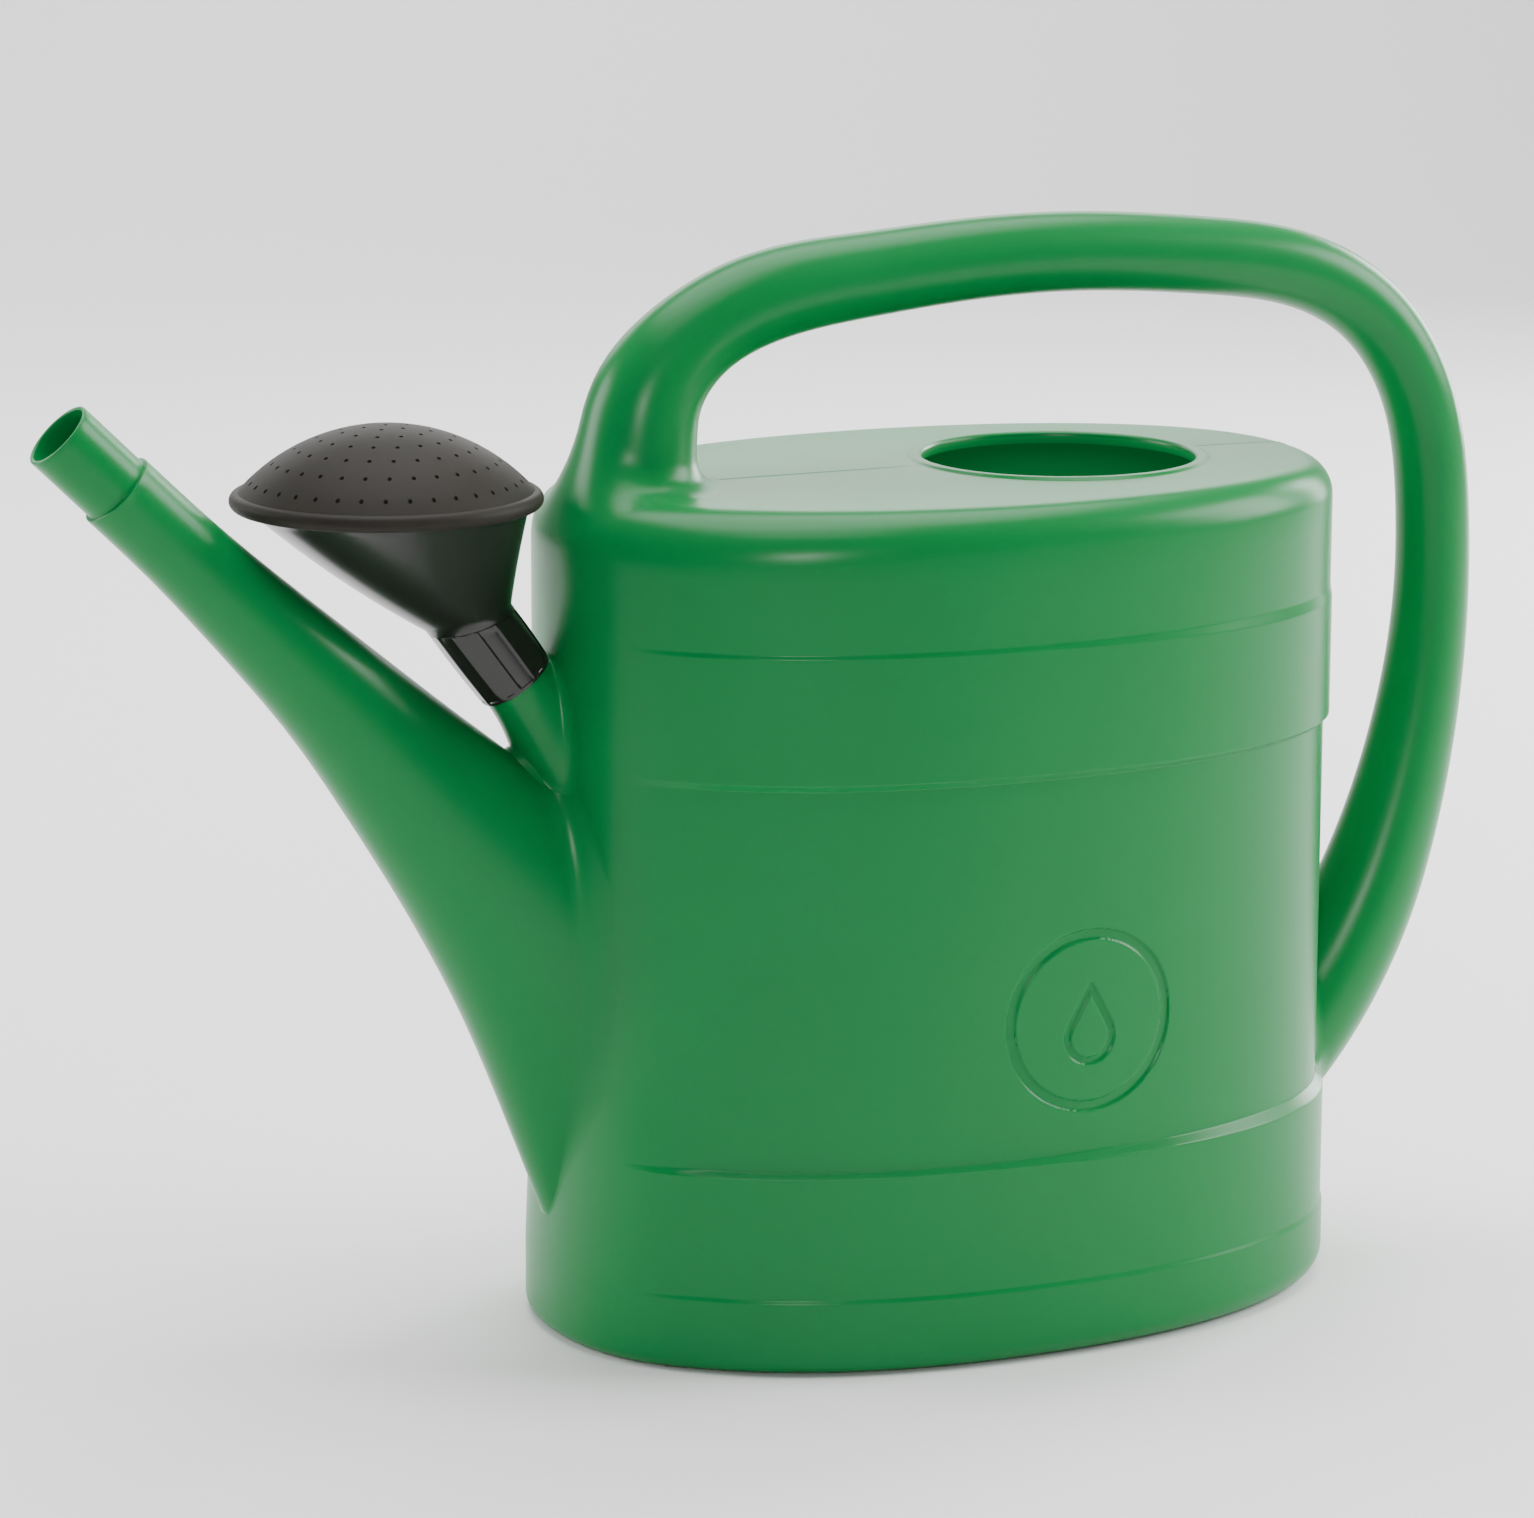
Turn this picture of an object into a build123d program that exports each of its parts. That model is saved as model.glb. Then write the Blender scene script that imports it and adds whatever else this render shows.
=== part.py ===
"""Ten-litre garden watering can: a one-piece blow-moulded can with its rose parked on a peg.

Millimetres, +Z up. The origin is the middle of the tank's base, on the ground.
+X runs towards the rear of the handle, the spout points to -X, and the can is
symmetrical about the plane y = 0.
"""

import math

from build123d import *

# ---- driving dimensions -------------------------------------------------------------

WALL = 1.6                    # wall of the blow moulding
TANK_HALF_LENGTH = 141.0      # tank plan at the ground band
TANK_HALF_WIDTH = 93.0
PLAN_EXPONENT = 2.2           # 2 is an ellipse, larger is squarer
DECK_HEIGHT = 283.0           # flat top of the tank
SHOULDER_RADIUS = 10.0
BASE_RADIUS = 8.0

# Tank bands from the ground up: height of the top of each band, and how far its
# wall is set in from the ground band. The long panel is the recessed one.
TANK_BANDS = [
    (25.0, 0.0),
    (67.5, 0.6),
    (195.5, 3.4),
    (238.5, 1.4),
    (DECK_HEIGHT, 2.0),
]

OPENING_X = 45.0              # middle of the fill opening
OPENING_RADIUS = 46.0
LIP_WIDTH = 4.0               # rolled edge of the fill opening
LIP_TOP = DECK_HEIGHT + 1.2
LIP_DEPTH = 7.0
LIP_ROUNDING = 1.0

COLLAR_RADIUS = 12.0          # end of the spout, and the parking peg
COLLAR_LENGTH = 26.2
SPOUT_WALL = 1.5

# Spout stations from the tip down into the tank. Each has the lower and the upper
# point of the section in the plane y = 0, as (x, z), and its half width in y.
SPOUT_STATIONS = [
    ((-293.5, 284.5), (-275.6, 304.1), 13.1),
    ((-275.3, 266.1), (-256.0, 284.9), 13.4),
    ((-251.4, 239.1), (-229.0, 261.0), 15.4),
    ((-228.0, 210.2), (-200.0, 236.9), 18.6),
    ((-206.5, 177.3), (-168.0, 210.5), 22.0),
    ((-188.0, 146.0), (-137.0, 184.5), 25.5),
    ((-166.2, 104.9), (-108.0, 150.0), 27.0),
    ((-144.5, 54.0), (-88.0, 105.0), 23.5),
    ((-134.5, 26.0), (-74.0, 76.0), 18.0),
]

# Handle stations from inside the deck, over the grip and down into the rear wall:
# centre (x, z) and radius of the round tube.
HANDLE_STATIONS = [
    ((-110.5, 262.0), 21.2),
    ((-108.4, 294.0), 19.9),
    ((-104.8, 311.7), 18.4),
    ((-89.9, 330.1), 15.8),
    ((-65.6, 342.4), 15.1),
    ((-28.6, 348.5), 14.2),
    ((15.3, 352.2), 13.6),
    ((52.1, 352.6), 13.3),
    ((97.6, 349.0), 13.1),
    ((135.9, 342.0), 12.9),
    ((161.5, 328.1), 12.6),
    ((182.4, 298.5), 12.5),
    ((190.1, 258.6), 12.7),
    ((190.5, 223.4), 13.2),
    ((185.5, 181.9), 14.7),
    ((178.3, 152.0), 16.3),
    ((168.8, 125.1), 18.0),
    ((154.5, 97.7), 19.5),
    ((135.5, 73.0), 20.8),
    ((112.0, 51.0), 21.6),
]

# Rose, parked on a peg that leans towards the spout. Distances along the peg are
# measured from the lower rim of the rose's sleeve.
PEG_FOOT = (-151.0, 222.8)    # (x, z) of the middle of the sleeve's lower rim
PEG_LEAN = 36.2               # degrees from the vertical, towards -X
PEG_ENGAGED = 22.0
PEG_ROUNDING = 1.0
PEG_STATIONS = [(-1.0, COLLAR_RADIUS), (-11.0, 13.0), (-22.0, 15.6), (-44.0, 20.4)]
SLEEVE_CLEARANCE = 0.25
SLEEVE_BORE = COLLAR_RADIUS + SLEEVE_CLEARANCE
SLEEVE_RADIUS = 13.7
SLEEVE_LENGTH = 27.5          # on the sleeve's centre line, up to the funnel
SLEEVE_OVERLAP = 4.4          # how far the sleeve runs on inside the funnel's slanted neck
NECK_TILT = 16.0              # degrees, slope of the joint of sleeve and funnel
ROSE_WALL = 1.3
FUNNEL_TOP_X = -193.5
FUNNEL_TOP_HEIGHT = 282.0
FUNNEL_TOP_RADIUS = 44.5
RING_RADIUS = 44.3            # upright ring that the face is pressed over
RING_HEIGHT = 4.0
PRESS_GAP = 0.3               # between the face and the ring
ROSE_X = -194.6               # upright centre line of the rose's face
FACE_WIDEST_HEIGHT = 285.0
FACE_RADIUS = 50.4
FACE_RIM_BOTTOM = 282.6
FACE_RIM_INSET = 3.2          # how far the foot of the rim lies inside the widest line
DOME_HEIGHT = 24.2            # above the widest level
DOME_FOOT_RADIUS = 47.5
DOME_FOOT_RISE = 3.0          # the dome starts this far above the widest level
FACE_WALL = 1.6
HOLE_RADIUS = 0.7
HOLE_RINGS = 6                # ring k has 6 k holes
HOLE_RING_SPACING = 7.3


# ---- shared shapes -------------------------------------------------------------------


def plan_points(half_length, half_width, count=32):
    """Points around the tank's rounded plan, a superellipse."""
    points = []
    for index in range(count):
        angle = math.tau * index / count
        c = math.cos(angle)
        s = math.sin(angle)
        x = half_length * math.copysign(abs(c) ** (2 / PLAN_EXPONENT), c)
        y = half_width * math.copysign(abs(s) ** (2 / PLAN_EXPONENT), s)
        points.append((x, y))
    return points


def tank_solid(inset):
    """The tank's filled shape, its whole outside and every ledge set in by the given amount."""
    with BuildPart() as body:
        bottom = inset
        insets_above = [band_inset for _, band_inset in TANK_BANDS[1:]] + [math.inf]
        for (top, band_inset), inset_above in zip(TANK_BANDS, insets_above):
            half_length = TANK_HALF_LENGTH - band_inset - inset
            half_width = TANK_HALF_WIDTH - band_inset - inset
            level = top - math.copysign(inset, inset_above - band_inset)
            with BuildSketch(Plane.XY.offset(bottom)):
                with BuildLine():
                    Spline(*plan_points(half_length, half_width), periodic=True)
                make_face()
            extrude(amount=level - bottom)
            bottom = level
        fillet(body.edges().group_by(Axis.Z)[-1], SHOULDER_RADIUS - inset)
        fillet(body.edges().group_by(Axis.Z)[0], BASE_RADIUS - inset)
    return body.part


def section_plane(centre, along):
    """Plane across a limb: its x axis lies in the plane y = 0, its y axis is -Y."""
    direction = Vector(along[0], 0, along[1]).normalized()
    across = direction.cross(Vector(0, 1, 0))
    return Plane(origin=(centre[0], 0, centre[1]), x_dir=across, z_dir=direction)


def spout_solid(inset):
    """The spout's filled shape below its collar, set in by the given amount."""
    with BuildPart() as body:
        for lower, upper, half_width in SPOUT_STATIONS:
            centre = ((lower[0] + upper[0]) / 2, (lower[1] + upper[1]) / 2)
            span = (upper[0] - lower[0], upper[1] - lower[1])
            along = (span[1], -span[0])
            half_depth = math.hypot(*span) / 2
            with BuildSketch(section_plane(centre, along)):
                Ellipse(half_depth - inset, min(half_width, half_depth - 0.01) - inset)
        loft()
    return body.part


def handle_solid(inset):
    """The handle's filled shape, set in by the given amount."""
    with BuildPart() as body:
        last = len(HANDLE_STATIONS) - 1
        for index, (centre, radius) in enumerate(HANDLE_STATIONS):
            before = HANDLE_STATIONS[max(index - 1, 0)][0]
            after = HANDLE_STATIONS[min(index + 1, last)][0]
            along = (after[0] - before[0], after[1] - before[1])
            with BuildSketch(section_plane(centre, along)):
                Circle(radius - inset)
        loft()
    return body.part


# ---- reference planes ----------------------------------------------------------------

peg_direction = (-math.sin(math.radians(PEG_LEAN)), math.cos(math.radians(PEG_LEAN)))


def peg_plane(distance):
    """Plane across the peg at a distance along it from the sleeve's lower rim."""
    x = PEG_FOOT[0] + distance * peg_direction[0]
    z = PEG_FOOT[1] + distance * peg_direction[1]
    return section_plane((x, z), peg_direction)


first_lower, first_upper, _ = SPOUT_STATIONS[0]
collar_foot = ((first_lower[0] + first_upper[0]) / 2, (first_lower[1] + first_upper[1]) / 2)
collar_direction = (first_lower[1] - first_upper[1], first_upper[0] - first_lower[0])
collar_plane = section_plane(collar_foot, collar_direction)

# ---- can: tank, spout, handle and peg --------------------------------------------------

tank_outside = tank_solid(0)
tank_inside = tank_solid(WALL)
spout_outside = spout_solid(0)
spout_inside = spout_solid(SPOUT_WALL)
handle_outside = handle_solid(0)
handle_inside = handle_solid(WALL)

with BuildPart() as lip:
    with BuildSketch(Plane((OPENING_X, 0, LIP_TOP))):
        Circle(OPENING_RADIUS + LIP_WIDTH)
    extrude(amount=-LIP_DEPTH)
    fillet(lip.edges().group_by(Axis.Z)[-1], LIP_ROUNDING)

with BuildPart() as tank:
    add(tank_outside)
    add(tank_inside, mode=Mode.SUBTRACT)
    add(lip.part)
    with BuildSketch(Plane((OPENING_X, 0, LIP_TOP))):
        Circle(OPENING_RADIUS)
    extrude(amount=-LIP_DEPTH, mode=Mode.SUBTRACT)
    add(spout_inside, mode=Mode.SUBTRACT)
    add(handle_inside, mode=Mode.SUBTRACT)
tank.part.label = "tank"
export_step(tank.part, "parts/tank.step")

with BuildPart() as spout:
    add(spout_outside)
    with BuildSketch(collar_plane):
        Circle(COLLAR_RADIUS)
    extrude(amount=COLLAR_LENGTH)
    add(tank_outside, mode=Mode.SUBTRACT)
    add(spout_inside, mode=Mode.SUBTRACT)
    with BuildSketch(collar_plane):
        Circle(COLLAR_RADIUS - SPOUT_WALL)
    extrude(amount=COLLAR_LENGTH, mode=Mode.SUBTRACT)
spout.part.label = "spout"
export_step(spout.part, "parts/spout.step")

with BuildPart() as handle:
    add(handle_outside)
    add(handle_inside, mode=Mode.SUBTRACT)
    add(tank_outside, mode=Mode.SUBTRACT)
handle.part.label = "handle"
export_step(handle.part, "parts/handle.step")

with BuildPart() as rose_peg:
    for distance, radius in PEG_STATIONS:
        with BuildSketch(peg_plane(distance)):
            Circle(radius)
    loft()
    with BuildSketch(peg_plane(PEG_STATIONS[0][0])):
        Circle(COLLAR_RADIUS)
    extrude(amount=PEG_ENGAGED - PEG_STATIONS[0][0])
    peg_axis = Axis(peg_plane(0).origin, peg_plane(0).z_dir)
    fillet(rose_peg.edges().sort_by(peg_axis)[-1], PEG_ROUNDING)
    add(tank_outside, mode=Mode.SUBTRACT)
    add(spout_outside, mode=Mode.SUBTRACT)
rose_peg.part.label = "rose_peg"
export_step(rose_peg.part, "parts/rose_peg.step")

# ---- rose: funnel with its sleeve, and the pressed-on face -----------------------------

neck_centre = peg_plane(SLEEVE_LENGTH).origin
neck_slope = math.radians(NECK_TILT)
neck_plane = Plane(
    origin=neck_centre,
    x_dir=(math.cos(neck_slope), 0, math.sin(neck_slope)),
    z_dir=(-math.sin(neck_slope), 0, math.cos(neck_slope)),
)
neck_stretch = 1 / math.cos(math.radians(PEG_LEAN) - neck_slope)
funnel_top_plane = Plane(origin=(FUNNEL_TOP_X, 0, FUNNEL_TOP_HEIGHT))


def funnel_solid(inset):
    """The funnel's filled shape from the slanted neck to its round top, set in by its wall."""
    with BuildPart() as body:
        with BuildSketch(neck_plane):
            Ellipse((SLEEVE_RADIUS - inset) * neck_stretch, SLEEVE_RADIUS - inset)
        with BuildSketch(funnel_top_plane):
            Circle(FUNNEL_TOP_RADIUS - inset)
        loft()
    return body.part


funnel_outside = funnel_solid(0)
funnel_inside = funnel_solid(ROSE_WALL)

with BuildPart() as rose_funnel:
    with BuildSketch(peg_plane(0)):
        Circle(SLEEVE_RADIUS)
    extrude(amount=SLEEVE_LENGTH + SLEEVE_OVERLAP)
    add(funnel_outside)
    with BuildSketch(Plane(origin=(ROSE_X, 0, FUNNEL_TOP_HEIGHT))):
        Circle(RING_RADIUS)
    extrude(amount=RING_HEIGHT)
    add(funnel_inside, mode=Mode.SUBTRACT)
    with BuildSketch(peg_plane(0)):
        Circle(SLEEVE_BORE)
    extrude(amount=SLEEVE_LENGTH, mode=Mode.SUBTRACT)
    with BuildSketch(Plane(origin=(ROSE_X, 0, FUNNEL_TOP_HEIGHT))):
        Circle(RING_RADIUS - ROSE_WALL)
    extrude(amount=RING_HEIGHT, mode=Mode.SUBTRACT)
rose_funnel.part.label = "rose_funnel"
export_step(rose_funnel.part, "parts/rose_funnel.step")

dome_sagitta = DOME_HEIGHT - DOME_FOOT_RISE
dome_radius = (DOME_FOOT_RADIUS**2 + dome_sagitta**2) / (2 * dome_sagitta)
dome_middle = FACE_WIDEST_HEIGHT + DOME_HEIGHT - dome_radius
lip_radius = RING_RADIUS + PRESS_GAP


def dome_point(radius, from_axis):
    """Point of the dome's arc of the given radius at a distance from the rose's axis."""
    return (from_axis, dome_middle + math.sqrt(radius**2 - from_axis**2))


with BuildPart() as rose_face:
    with BuildSketch(Plane(origin=(ROSE_X, 0, 0), x_dir=(1, 0, 0), z_dir=(0, -1, 0))):
        with BuildLine():
            inner_radius = dome_radius - FACE_WALL
            crown = dome_point(dome_radius, 0)
            half_way = dome_point(dome_radius, DOME_FOOT_RADIUS / 2)
            dome_foot = dome_point(dome_radius, DOME_FOOT_RADIUS)
            rim_foot = (FACE_RADIUS - FACE_RIM_INSET, FACE_RIM_BOTTOM)
            inner_edge = dome_point(inner_radius, lip_radius)
            inner_half_way = dome_point(inner_radius, lip_radius / 2)
            inner_crown = dome_point(inner_radius, 0)
            ThreePointArc(crown, half_way, dome_foot)
            ThreePointArc(dome_foot, (FACE_RADIUS, FACE_WIDEST_HEIGHT), rim_foot)
            Polyline(rim_foot, (lip_radius, FACE_RIM_BOTTOM), inner_edge)
            ThreePointArc(inner_edge, inner_half_way, inner_crown)
            Line(inner_crown, crown)
        make_face()
    revolve(axis=Axis((ROSE_X, 0, 0), (0, 0, 1)))
    with BuildSketch(Plane(origin=(ROSE_X, 0, FACE_WIDEST_HEIGHT + DOME_HEIGHT))):
        Circle(HOLE_RADIUS)
        for ring in range(1, HOLE_RINGS + 1):
            with PolarLocations(ring * HOLE_RING_SPACING, 6 * ring):
                Circle(HOLE_RADIUS)
    extrude(amount=-DOME_HEIGHT, mode=Mode.SUBTRACT)
rose_face.part.label = "rose_face"
export_step(rose_face.part, "parts/rose_face.step")
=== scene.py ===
"""Ten-litre garden watering can with its rose parked on a peg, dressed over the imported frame.

The can is one blow moulding: a tank with stepped bands, a spout, a hollow handle and the
peg for the rose, all run into each other with soft fillets. Every new piece is a surface
computed from a formula on a grid, in millimetres, and written in metres in the frame of
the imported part: +Z up, the spout to -X, the origin in the middle of the tank's base.
"""

import logging
import math
from collections.abc import Callable
from dataclasses import dataclass, field, replace
from enum import Enum

import bpy
import numpy as np
from mathutils import Matrix, Vector


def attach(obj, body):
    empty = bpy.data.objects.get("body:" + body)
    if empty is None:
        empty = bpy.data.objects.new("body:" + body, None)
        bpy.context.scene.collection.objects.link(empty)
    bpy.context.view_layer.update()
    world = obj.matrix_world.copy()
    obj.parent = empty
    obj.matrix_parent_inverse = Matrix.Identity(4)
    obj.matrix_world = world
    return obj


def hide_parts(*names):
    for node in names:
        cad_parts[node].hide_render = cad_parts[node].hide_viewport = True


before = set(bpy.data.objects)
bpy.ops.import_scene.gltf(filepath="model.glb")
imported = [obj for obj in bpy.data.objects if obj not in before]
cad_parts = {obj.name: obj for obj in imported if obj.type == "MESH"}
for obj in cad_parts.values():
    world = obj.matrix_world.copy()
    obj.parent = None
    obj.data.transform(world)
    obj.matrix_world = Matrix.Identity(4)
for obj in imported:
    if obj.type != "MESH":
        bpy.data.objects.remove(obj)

LOG = logging.getLogger("watering_can")
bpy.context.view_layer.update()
MILLIMETRE = 0.001
SHARP_ANGLE = math.radians(42.0)
QUARTER = math.pi / 2.0

# How far red, green and blue light travel in the plastic, relative to each other and in metres,
# and the range of the cloud noise that the gloss follows without being cut off.
GREEN_BLEED = (0.3, 1.0, 0.5)
BLEED_DISTANCE = 0.0025
CLOUD_RANGE = (0.1, 0.9)


class Body(Enum):
    """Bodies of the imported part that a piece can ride."""

    CAN = "can"
    ROSE = "rose"


class Slot(Enum):
    """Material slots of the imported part."""

    CAN = "can_plastic"
    FUNNEL = "funnel_plastic"
    FACE = "face_plastic"


# ---- formulas ------------------------------------------------------------------------


def smooth_step(value: np.ndarray, low: float, high: float) -> np.ndarray:
    """Rises from 0 at low to 1 at high (which may be the smaller one) along a cubic with level ends."""
    share = np.clip((value - low) / (high - low), 0.0, 1.0)
    return share * share * (3.0 - 2.0 * share)


def natural_spline(knots: np.ndarray, values: np.ndarray, at: np.ndarray) -> np.ndarray:
    """Natural cubic spline: cubics joined with equal slope and curvature, straight at both ends.

    Args:
        knots: Rising parameter of each value, shape (n,).
        values: Values to pass through, shape (n, k).
        at: Parameters to evaluate at, shape (m,).

    Returns:
        Values of the spline, shape (m, k).
    """
    gap = np.diff(knots)
    slope = np.diff(values, axis=0) / gap[:, None]
    system = np.eye(len(knots))
    inner = np.arange(1, len(knots) - 1)
    system[inner, inner - 1] = gap[:-1]
    system[inner, inner] = 2.0 * (gap[:-1] + gap[1:])
    system[inner, inner + 1] = gap[1:]
    bending = np.zeros_like(values)
    bending[1:-1] = 6.0 * np.diff(slope, axis=0)
    bending = np.linalg.solve(system, bending)
    piece = np.clip(np.searchsorted(knots, at) - 1, 0, len(gap) - 1)
    width = gap[piece][:, None]
    right = ((at - knots[piece])[:, None]) / width
    left = 1.0 - right
    bend = (left**3 - left) * bending[piece] + (right**3 - right) * bending[piece + 1]
    return left * values[piece] + right * values[piece + 1] + bend * width**2 / 6.0


def unit(vectors: np.ndarray) -> np.ndarray:
    """The same directions with length one along the last axis."""
    return vectors / np.maximum(np.linalg.norm(vectors, axis=-1, keepdims=True), 1e-12)


def slope_of(height: Callable, points: np.ndarray, step: float = 0.02) -> np.ndarray:
    """Gradient of a height function at points (n, 3), by central differences of the given half step."""
    shifts = np.eye(3) * step
    return np.stack([(height(points + s) - height(points - s)) / (2.0 * step) for s in shifts], axis=-1)


def dropped_on(height: Callable, points: np.ndarray, level: float = 0.0, rounds: int = 6) -> np.ndarray:
    """Moves points along the gradient of a height function until they lie on one of its levels.

    Args:
        height: Function from points (n, 3) to heights (n,).
        points: Points near the surface, shape (n, 3).
        level: Height at which the points shall lie.
        rounds: Newton steps.

    Returns:
        The moved points, shape (n, 3).
    """
    moved = points.copy()
    for _ in range(rounds):
        slope = slope_of(height, moved)
        error = (height(moved) - level) / np.maximum((slope**2).sum(-1), 1e-6)
        moved = moved - np.clip(error, -4.0, 4.0)[:, None] * slope
    return moved


def soft_union(first: np.ndarray, second: np.ndarray, fillet: float) -> np.ndarray:
    """Lower of two heights, with the crease filled by a parabola that reaches along by the fillet."""
    overlap = np.clip(1.0 - np.abs(first - second) / fillet, 0.0, 1.0)
    return np.minimum(first, second) - fillet * overlap**2 / 4.0


# ---- meshes --------------------------------------------------------------------------


@dataclass
class Skin:
    """A closed surface made of a grid of points: rows along the piece, columns around it.

    The columns always close on themselves. The rows either close too, as on a tube with
    an inside, or end in a pole that is capped with triangles. From the row inside_from on,
    if it is set, the faces take the piece's second finish.
    """

    name: str
    rows: np.ndarray
    closed_rows: bool = False
    inside_from: int = 0

    def faces(self) -> list:
        """Quads between neighbouring rows and columns, and the triangles of both poles.

        Returns:
            Vertex numbers of each face; the poles' vertices come after the grid's.
        """
        count, columns = self.rows.shape[:2]
        last = count if self.closed_rows else count - 1
        row, column = np.meshgrid(np.arange(last), np.arange(columns), indexing="ij")
        up, right = (row + 1) % count, (column + 1) % columns
        here, above = row * columns, up * columns
        quads = np.stack([here + column, here + right, above + right, above + column], axis=-1)
        found = quads.reshape(-1, 4).tolist()
        if not self.closed_rows:
            ring = np.arange(columns)
            after = (ring + 1) % columns
            first_pole = np.full(columns, count * columns)
            top = (count - 1) * columns
            found += np.stack([after, ring, first_pole], axis=-1).tolist()
            found += np.stack([top + ring, top + after, first_pole + 1], axis=-1).tolist()
        return found

    def points(self) -> np.ndarray:
        """The grid's points, followed by the middle of each end where the rows are open.

        Returns:
            Points in millimetres, shape (n, 3).
        """
        flat = self.rows.reshape(-1, 3)
        if self.closed_rows:
            return flat
        return np.concatenate([flat, self.rows[:1].mean(1), self.rows[-1:].mean(1)])

    def build(self) -> bpy.types.Object:
        """Makes the object, with its faces outward and its crisp edges marked sharp.

        Returns:
            The new object, at the origin, unturned and unscaled.
        """
        points = self.points()
        faces = self.faces()
        corners = points[np.array([f[:3] for f in faces])]
        others = points[np.array([[f[0], f[2], f[-1]] for f in faces])]
        volume = sum((np.cross(t[:, 0], t[:, 1]) * t[:, 2]).sum() for t in (corners, others))
        if volume < 0:
            faces = [face[::-1] for face in faces]
        mesh = bpy.data.meshes.new(self.name)
        mesh.from_pydata((points * MILLIMETRE).tolist(), [], faces)
        mesh.update()
        mesh.polygons.foreach_set("use_smooth", np.ones(len(mesh.polygons), bool))
        if self.inside_from:
            holder = np.zeros(len(mesh.polygons), int)
            holder[self.inside_from * self.rows.shape[1] :] = 1
            if not self.closed_rows:
                holder[-2 * self.rows.shape[1] : -self.rows.shape[1]] = 0
            mesh.polygons.foreach_set("material_index", holder)
        mesh.set_sharp_from_angle(angle=SHARP_ANGLE)
        made = bpy.data.objects.new(self.name, mesh)
        bpy.context.scene.collection.objects.link(made)
        return made


def report(piece: bpy.types.Object, finish: str) -> None:
    """Writes one line about a finished piece and its finish to the log."""
    size = [round(v * 1000.0, 1) for v in piece.dimensions]
    LOG.info("%s: %d vertices, %s mm, %s", piece.name, len(piece.data.vertices), size, finish)


def dress(made: bpy.types.Object, finishes: tuple, body: Body, node: str) -> bpy.types.Object:
    """Gives a new piece its finishes and its body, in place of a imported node.

    Args:
        made: The new piece.
        finishes: Its materials, the main one first.
        body: The body it rides.
        node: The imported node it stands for.

    Returns:
        The piece.
    """
    for finish in finishes:
        made.data.materials.append(finish)
    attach(made, body.value)
    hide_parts(node)
    report(made, finishes[0].name)
    return made


# ---- finishes ------------------------------------------------------------------------


def set_inputs(node: bpy.types.Node, **values: object) -> None:
    """Sets a node's input sockets; an underscore in a name stands for a space."""
    for name, value in values.items():
        node.inputs[name.replace("_", " ")].default_value = value


@dataclass(frozen=True)
class MouldedPlastic:
    """A moulded plastic whose colour, gloss and fine surface vary a little from place to place; it may also
    emit painted light in its second colour.
    """

    name: str
    colour: tuple
    second_colour: tuple
    roughness: float
    roughness_swing: float
    grain_size: float
    grain_depth: float
    cloud_size: float = 60.0
    subsurface: float = 0.0
    specular: float = 0.5
    painted_glow: float = 0.0

    def build(self) -> bpy.types.Material:
        """Makes the material from two noises: clouds for colour and gloss, grain for the surface.

        Returns:
            The material, reading object coordinates only.
        """
        material = bpy.data.materials.new(self.name)
        material.use_nodes = True
        nodes, links = material.node_tree.nodes, material.node_tree.links
        shader = nodes["Principled BSDF"]
        set_inputs(shader, Specular_IOR_Level=self.specular, Subsurface_Weight=self.subsurface)
        set_inputs(shader, Subsurface_Radius=GREEN_BLEED, Subsurface_Scale=BLEED_DISTANCE)
        # Emission in the second colour is painted light: the surface shines though it is no lamp.
        set_inputs(shader, Emission_Color=(*self.second_colour, 1.0), Emission_Strength=self.painted_glow)
        place = nodes.new("ShaderNodeTexCoord")
        clouds = nodes.new("ShaderNodeTexNoise")
        set_inputs(clouds, Scale=1.0 / (self.cloud_size * MILLIMETRE), Detail=3.0)
        grain = nodes.new("ShaderNodeTexNoise")
        set_inputs(grain, Scale=1.0 / (self.grain_size * MILLIMETRE), Detail=4.0, Roughness=0.6)
        links.new(place.outputs["Object"], clouds.inputs["Vector"])
        links.new(place.outputs["Object"], grain.inputs["Vector"])
        tint = nodes.new("ShaderNodeMix")
        tint.data_type = "RGBA"
        set_inputs(tint, A=(*self.colour, 1.0), B=(*self.second_colour, 1.0))
        links.new(clouds.outputs["Fac"], tint.inputs["Factor"])
        links.new(tint.outputs["Result"], shader.inputs["Base Color"])
        gloss = nodes.new("ShaderNodeMapRange")
        low, high = self.roughness - self.roughness_swing, self.roughness + self.roughness_swing
        set_inputs(gloss, From_Min=CLOUD_RANGE[0], From_Max=CLOUD_RANGE[1], To_Min=low, To_Max=high)
        links.new(clouds.outputs["Fac"], gloss.inputs["Value"])
        links.new(gloss.outputs["Result"], shader.inputs["Roughness"])
        bump = nodes.new("ShaderNodeBump")
        set_inputs(bump, Strength=1.0, Distance=self.grain_depth * MILLIMETRE)
        links.new(grain.outputs["Fac"], bump.inputs["Height"])
        links.new(bump.outputs["Normal"], shader.inputs["Normal"])
        return material


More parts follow.
